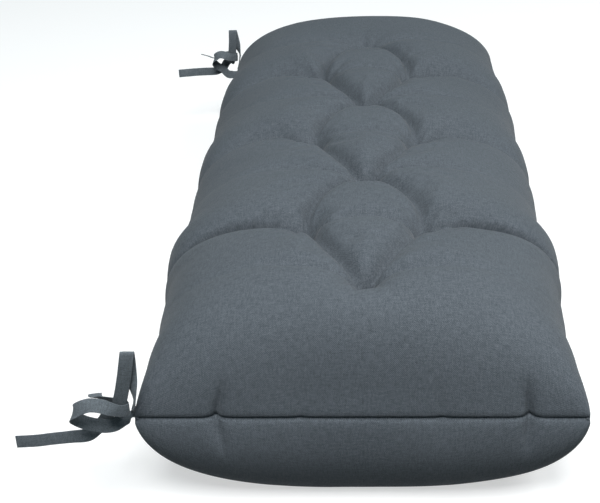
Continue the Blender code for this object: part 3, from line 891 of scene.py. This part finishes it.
# %% The weave group
SLUB_FINE = 420.0
SLUB_LONG = 110.0
FIBRE = 800.0
MOTTLE_GAIN = 1.5
MOTTLE_OFFSET = -1.0
FIBRE_LIFT = 0.35


def weave_group():
    """Height: one half plus half the product of the sines of the two thread angles. Mottle: thread-long
    noise of the warp where the warp is on top, and of the weft elsewhere, with fine fibre noise."""
    group = bpy.data.node_groups.new("Plain weave of mixed yarn", "ShaderNodeTree")
    face = group.interface
    face.new_socket("Place", in_out="INPUT", socket_type="NodeSocketVector")
    pitch = face.new_socket("Threads per metre", in_out="INPUT", socket_type="NodeSocketFloat")
    pitch.default_value = 700.0
    face.new_socket("Mottle", in_out="OUTPUT", socket_type="NodeSocketFloat")
    face.new_socket("Height", in_out="OUTPUT", socket_type="NodeSocketFloat")
    given = add_node(group, "NodeGroupInput")
    split = add_node(group, "ShaderNodeSeparateXYZ")
    group.links.new(given.outputs["Place"], split.inputs[0])
    u, v = split.outputs[0], split.outputs[1]
    turn = math_node(group, "MULTIPLY", given.outputs["Threads per metre"], math.pi)
    warp = math_node(group, "SINE", math_node(group, "MULTIPLY", u, turn))
    weft = math_node(group, "SINE", math_node(group, "MULTIPLY", v, turn))
    crossed = math_node(group, "MULTIPLY", warp, weft)
    height = math_node(group, "MULTIPLY_ADD", crossed, 0.5, 0.5)
    along = stretched_noise(group, u, v, SLUB_FINE, SLUB_LONG, 3.0)
    over = stretched_noise(group, u, v, SLUB_LONG, SLUB_FINE, 3.0)
    fibre = stretched_noise(group, u, v, FIBRE, FIBRE, 2.0)
    on_top = math_node(group, "GREATER_THAN", crossed, 0.0)
    yarn = add_node(group, "ShaderNodeMix", data_type="FLOAT")
    group.links.new(on_top, yarn.inputs["Factor"])
    group.links.new(over, yarn.inputs["A"])
    group.links.new(along, yarn.inputs["B"])
    both = math_node(group, "ADD", yarn.outputs["Result"], fibre)
    mottle = math_node(group, "MULTIPLY_ADD", both, MOTTLE_GAIN, MOTTLE_OFFSET)
    rough = math_node(group, "MULTIPLY_ADD", fibre, FIBRE_LIFT, height)
    made = add_node(group, "NodeGroupOutput")
    group.links.new(mottle, made.inputs["Mottle"])
    group.links.new(rough, made.inputs["Height"])
    return group


weave = weave_group()
print("weave group sockets:", [item.name for item in weave.interface.items_tree])

# %% [markdown]
# ## The materials of the cover and the tapes
# The cloth is anthracite with a cool cast. Colour runs between a darker and a lighter yarn by the
# group's mottle, and a slow noise makes broad patches a touch lighter, as handling and daylight do. A
# little sheen lifts the edges where fibres stand up. Roughness and sheen are the same everywhere, so
# they are set on the shader itself.

# %% Cloth materials
CLOTH_ROUGHNESS = 0.92
CLOTH_SPECULAR = 0.25
SHEEN_ROUGHNESS = 0.45
THREAD_HEIGHT = 0.0006
PATCH_SCALE = 9.0
PATCH_GAIN = 0.24


def set_colour(socket, colour):
    """A linear colour with full alpha into a socket."""
    socket.default_value = (*colour, 1.0)


def cloth_material(name, dark, light, threads, bump, sheen):
    """A woven cloth: mixed yarn colour, thread bumps and a soft sheen."""
    made = bpy.data.materials.new(name)
    made.use_nodes = True
    tree = made.node_tree
    shader = tree.nodes["Principled BSDF"]
    shader.inputs["Roughness"].default_value = CLOTH_ROUGHNESS
    shader.inputs["Specular IOR Level"].default_value = CLOTH_SPECULAR
    shader.inputs["Sheen Weight"].default_value = sheen
    shader.inputs["Sheen Roughness"].default_value = SHEEN_ROUGHNESS
    place = add_node(tree, "ShaderNodeUVMap", uv_map="flat_cloth")
    woven = add_node(tree, "ShaderNodeGroup")
    woven.node_tree = weave
    woven.inputs["Threads per metre"].default_value = threads
    tree.links.new(place.outputs["UV"], woven.inputs["Place"])
    patches = add_node(tree, "ShaderNodeTexNoise")
    patches.inputs["Scale"].default_value = PATCH_SCALE
    patches.inputs["Detail"].default_value = 3.0
    spot = add_node(tree, "ShaderNodeTexCoord")
    tree.links.new(spot.outputs["Object"], patches.inputs["Vector"])
    drift = math_node(tree, "MULTIPLY_ADD", patches.outputs["Fac"], PATCH_GAIN, -PATCH_GAIN / 2)
    blend = math_node(tree, "ADD", woven.outputs["Mottle"], drift)
    yarn = add_node(tree, "ShaderNodeMix", data_type="RGBA", clamp_factor=True)
    set_colour(yarn.inputs["A"], dark)
    set_colour(yarn.inputs["B"], light)
    tree.links.new(blend, yarn.inputs["Factor"])
    tree.links.new(yarn.outputs["Result"], shader.inputs["Base Color"])
    raised = add_node(tree, "ShaderNodeBump")
    raised.inputs["Strength"].default_value = bump
    raised.inputs["Distance"].default_value = THREAD_HEIGHT
    tree.links.new(woven.outputs["Height"], raised.inputs["Height"])
    tree.links.new(raised.outputs["Normal"], shader.inputs["Normal"])
    return made


cover_cloth = cloth_material(
    "anthracite_cloth", dark=(0.039, 0.047, 0.056), light=(0.093, 0.106, 0.121),
    threads=900.0, bump=0.40, sheen=0.07)
# The tape's yarn is set lighter than the cover's, in part as painted light: it lifts the upright loops,
# which the lamps light less, toward the brightness of the top.
tape_cloth = cloth_material(
    "anthracite_tape", dark=(0.063, 0.076, 0.086), light=(0.134, 0.151, 0.168),
    threads=1100.0, bump=0.40, sheen=0.08)
cushion.data.materials.append(cover_cloth)
for tape in tapes:
    tape.data.materials.append(tape_cloth)
print("cloths:", cover_cloth.name, "and", tape_cloth.name)

# %% [markdown]
# ## Floor
# The pad lies on a plain pale floor. A studio table is often lit from below so that it stays pale where
# the lamps don't reach, and a little glow of the floor's own does the same here. The floor sends no
# diffuse light up to the cloth, whose underside would otherwise be too bright.

# %% Floor
FLOOR_GLOW = 0.56
FLOOR_ROUGHNESS = 0.9
FLOOR_TONES = (0.46, 0.49)


def floor_material():
    """Matt, with a glow that makes it pale and a faint cloud so that it is not one flat value."""
    made = bpy.data.materials.new("pale_floor")
    made.use_nodes = True
    tree = made.node_tree
    shader = tree.nodes["Principled BSDF"]
    shader.inputs["Roughness"].default_value = FLOOR_ROUGHNESS
    set_colour(shader.inputs["Emission Color"], (1.0, 1.0, 1.0))
    shader.inputs["Emission Strength"].default_value = FLOOR_GLOW
    spot = add_node(tree, "ShaderNodeTexCoord")
    cloud = add_node(tree, "ShaderNodeTexNoise")
    cloud.inputs["Scale"].default_value = 1.5
    tree.links.new(spot.outputs["Object"], cloud.inputs["Vector"])
    tone = add_node(tree, "ShaderNodeMix", data_type="RGBA")
    set_colour(tone.inputs["A"], (FLOOR_TONES[0],) * 3)
    set_colour(tone.inputs["B"], (FLOOR_TONES[1],) * 3)
    tree.links.new(cloud.outputs["Fac"], tone.inputs["Factor"])
    tree.links.new(tone.outputs["Result"], shader.inputs["Base Color"])
    return made


FLOOR_HALF = 30.0
FLOOR_DROP = 0.0006
floor_points = np.array([(-1, -1), (1, -1), (1, 1), (-1, 1)], float) * FLOOR_HALF
floor_points = np.concatenate([floor_points, np.full((4, 1), -FLOOR_DROP)], 1)
floor = put_mesh("floor", floor_points, np.array([[0, 1, 2, 3]]))
floor.data.materials.append(floor_material())
floor.visible_diffuse = False
print("floor", 2 * FLOOR_HALF, "m wide")

# %% [markdown]
# ## Lights
# Soft studio light means large lamps: the key light high on the camera's side, a weaker one from the
# right and a faint low one in front. What the lamps don't reach gets a dim cool surround, brighter from
# above, which gives the shaded face its bluish cast. The camera sees a pale wall in its place.

# %% Lights
LAMP_SIZE = 1.8
AIM = (0.0, 0.0, 0.1)


def soft_light(name, place, power):
    """A square area light at a place, turned to the aim: its -Z runs along the way between them."""
    data = bpy.data.lights.new(name, "AREA")
    data.size = LAMP_SIZE
    data.energy = power
    made = bpy.data.objects.new(name, data)
    way = np.array(AIM, float) - np.array(place, float)
    back = -way / np.linalg.norm(way)
    right = np.cross((0, 0, 1), back)
    right /= np.linalg.norm(right)
    up = np.cross(back, right)
    turn = np.eye(4)
    turn[:3, 0], turn[:3, 1], turn[:3, 2], turn[:3, 3] = right, up, back, place
    made.matrix_world = Matrix(turn.tolist())
    bpy.context.scene.collection.objects.link(made)
    return made


soft_light("key_light", (0.0, -1.7, 3.0), 146.0)
soft_light("side_light", (2.2, -0.2, 2.2), 51.0)
soft_light("low_light", (0.0, -3.2, 1.4), 2.0)
SHADE_TINT = (0.62, 1.0, 1.10)
PALE_WALL = (0.80, 0.80, 0.80)
SKY_EASE = (-0.15, 0.35)


def surround_light(above, below):
    """A sky of one brightness above the level and another below it, eased between them: the brighter
    part stands for the studio's ceiling and walls, and the dim one for what a floor gives back."""
    made = bpy.data.worlds.new("studio_surround")
    made.use_nodes = True
    tree = made.node_tree
    heading = add_node(tree, "ShaderNodeTexCoord")
    parts = add_node(tree, "ShaderNodeSeparateXYZ")
    tree.links.new(heading.outputs["Generated"], parts.inputs[0])
    lift = add_node(tree, "ShaderNodeMapRange", interpolation_type="SMOOTHSTEP")
    lift.inputs["From Min"].default_value, lift.inputs["From Max"].default_value = SKY_EASE
    tree.links.new(parts.outputs[2], lift.inputs["Value"])
    tone = add_node(tree, "ShaderNodeMix", data_type="RGBA")
    set_colour(tone.inputs["A"], [below * part for part in SHADE_TINT])
    set_colour(tone.inputs["B"], [above * part for part in SHADE_TINT])
    tree.links.new(lift.outputs["Result"], tone.inputs["Factor"])
    ray = add_node(tree, "ShaderNodeLightPath")
    shown = add_node(tree, "ShaderNodeMix", data_type="RGBA")
    tree.links.new(ray.outputs["Is Camera Ray"], shown.inputs["Factor"])
    tree.links.new(tone.outputs["Result"], shown.inputs["A"])
    set_colour(shown.inputs["B"], PALE_WALL)
    tree.links.new(shown.outputs["Result"], tree.nodes["Background"].inputs["Color"])
    return made


surround = surround_light(0.20, 0.04)
bpy.context.scene.world = surround
bpy.context.scene.view_settings.view_transform = "Standard"
print("three lamps and a surround")

# %% [markdown]
# ## Camera
# The camera looks down along the cushion from its near end. Its place, turn and lens were found by
# fitting the cushion's outline and tufts, so the picture has the photograph's viewing angle.

# %% Camera
EYE = (0.0188, -1.6463, 0.8703)
PITCH = 0.4793
YAW = -0.0728
ROLL = -0.0431
LENS_MM = 69.86
SENSOR_MM = 36.0


def camera_turn():
    """Columns right, up and back of a camera that looks down by the pitch, aside by the yaw and leans by
    the roll."""
    flat = math.cos(PITCH)
    ahead = np.array([math.sin(YAW) * flat, math.cos(YAW) * flat, -math.sin(PITCH)])
    level = np.array([math.cos(YAW), -math.sin(YAW), 0.0])
    upright = np.cross(level, ahead)
    right = math.cos(ROLL) * level + math.sin(ROLL) * upright
    up = -math.sin(ROLL) * level + math.cos(ROLL) * upright
    return right, up, -ahead


camera = bpy.data.objects.new("camera", bpy.data.cameras.new("camera"))
camera.data.lens = LENS_MM
camera.data.sensor_width = SENSOR_MM
camera_place = np.eye(4)
camera_place[:3, 0], camera_place[:3, 1], camera_place[:3, 2] = camera_turn()
camera_place[:3, 3] = EYE
camera.matrix_world = Matrix(camera_place.tolist())
bpy.context.scene.collection.objects.link(camera)
bpy.context.scene.camera = camera
print("camera", round(EYE[2], 2), "m up, lens", LENS_MM, "mm")

# %% [markdown]
# ## Finish
# The view layer is brought up to date.

# %% Finish
bpy.context.view_layer.update()
